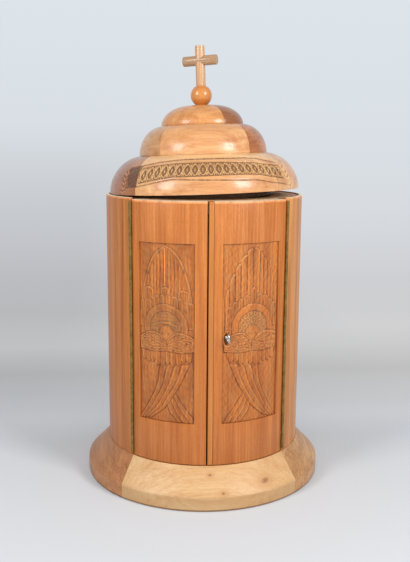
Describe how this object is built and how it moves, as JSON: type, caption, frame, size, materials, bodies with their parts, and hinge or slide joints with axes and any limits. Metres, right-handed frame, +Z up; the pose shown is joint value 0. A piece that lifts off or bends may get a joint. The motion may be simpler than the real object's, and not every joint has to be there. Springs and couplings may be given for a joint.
{
  "type": "altar tabernacle",
  "caption": "Round wooden altar tabernacle: coopered drum on a bevelled plinth, curved doors with lock, stepped dome lid with ball and cross.",
  "frame": {"origin": "middle of the underside of the plinth, on the surface that the object stands on", "axes": "+Z up along the drum's axis; -Y out of the front, between the doors; +X to the viewer's right"},
  "size_m": [0.44, 0.44, 0.7881],
  "materials": {
    "plinth_wood": "worn satin varnish",
    "case_wood": "satin varnish, upright grain",
    "door_wood": "satin varnish, carved panels",
    "bead_wood": "satin varnish, paler",
    "inner_wood": "bare, matt",
    "lid_wood": "satin varnish, carved frieze",
    "ball_wood": "glossier varnish",
    "cross_wood": "satin varnish",
    "hinge_brass": "tarnished",
    "bolt_brass": "satin",
    "lock_steel": "nickel plated"
  },
  "bodies": {
    "cabinet": {"plinth_front": "plinth_wood", "plinth_right": "plinth_wood", "plinth_back": "plinth_wood", "plinth_left": "plinth_wood", "bottom_board": "inner_wood", "side_stave_right": "case_wood", "back_stave_1": "case_wood", "back_stave_2": "case_wood", "back_stave_3": "case_wood", "back_stave_4": "case_wood", "back_stave_5": "case_wood", "back_stave_6": "case_wood", "side_stave_left": "case_wood", "top_board": "inner_wood", "top_bolt_bush": "bolt_brass", "bottom_bolt_bush": "bolt_brass", "left_hinge_frame_leaf": "hinge_brass", "left_hinge_pin": "hinge_brass", "right_hinge_frame_leaf": "hinge_brass", "right_hinge_pin": "hinge_brass"},
    "left_door": {"left_door": "door_wood", "left_hinge_door_leaf": "hinge_brass", "lock_keeper": "bolt_brass", "top_slide_bracket": "bolt_brass", "bottom_slide_bracket": "bolt_brass"},
    "top_bolt": {"top_slide_rod": "bolt_brass"},
    "bottom_bolt": {"bottom_slide_rod": "bolt_brass"},
    "right_door": {"right_door": "door_wood", "meeting_bead": "bead_wood", "right_hinge_door_leaf": "hinge_brass", "lock_case": "lock_steel", "lock_cover": "lock_steel", "keyhole_plate": "lock_steel"},
    "key": {"key": "lock_steel"},
    "lock_bolt": {"lock_bolt": "lock_steel"},
    "lid": {"lower_tier_front": "lid_wood", "lower_tier_right": "lid_wood", "lower_tier_back": "lid_wood", "lower_tier_left": "lid_wood", "middle_tier_front": "lid_wood", "middle_tier_right": "lid_wood", "middle_tier_back": "lid_wood", "middle_tier_left": "lid_wood", "upper_tier_left": "lid_wood", "upper_tier_right": "lid_wood", "locating_disc": "inner_wood", "ball": "ball_wood", "cross_post": "cross_wood", "cross_arm": "cross_wood"}
  },
  "joints": [
    {"name": "left_door_swing", "type": "hinge", "parent": "cabinet", "child": "left_door", "pos_m": [-0.13494, -0.12108, 0.2945], "axis": [0, 0, -1], "range_deg": [0, 120]},
    {"name": "right_door_swing", "type": "hinge", "parent": "cabinet", "child": "right_door", "pos_m": [0.13494, -0.12108, 0.2945], "axis": [0, 0, 1], "range_deg": [0, 120]},
    {"name": "top_bolt_slide", "type": "slide", "parent": "left_door", "child": "top_bolt", "axis": [0, 0, 1], "range_m": [0, 0.012]},
    {"name": "bottom_bolt_slide", "type": "slide", "parent": "left_door", "child": "bottom_bolt", "axis": [0, 0, -1], "range_m": [0, 0.012]},
    {"name": "key_turn", "type": "hinge", "parent": "right_door", "child": "key", "pos_m": [0.02595, -0.17812, 0.294], "axis": [-0.1441, 0.9896, 0], "range_deg": [0, 100]},
    {"name": "lock_bolt_throw", "type": "slide", "parent": "right_door", "child": "lock_bolt", "axis": [-0.9896, -0.1441, 0], "range_m": [0, 0.008]},
    {"name": "lid_lift", "type": "slide", "parent": "cabinet", "child": "lid", "axis": [0, 0, 1], "range_m": [0, 0.08]}
  ],
  "couplings": [
    {"joint": "key_turn", "follows": "lock_bolt_throw", "rad_per_m": 196.3}
  ]
}
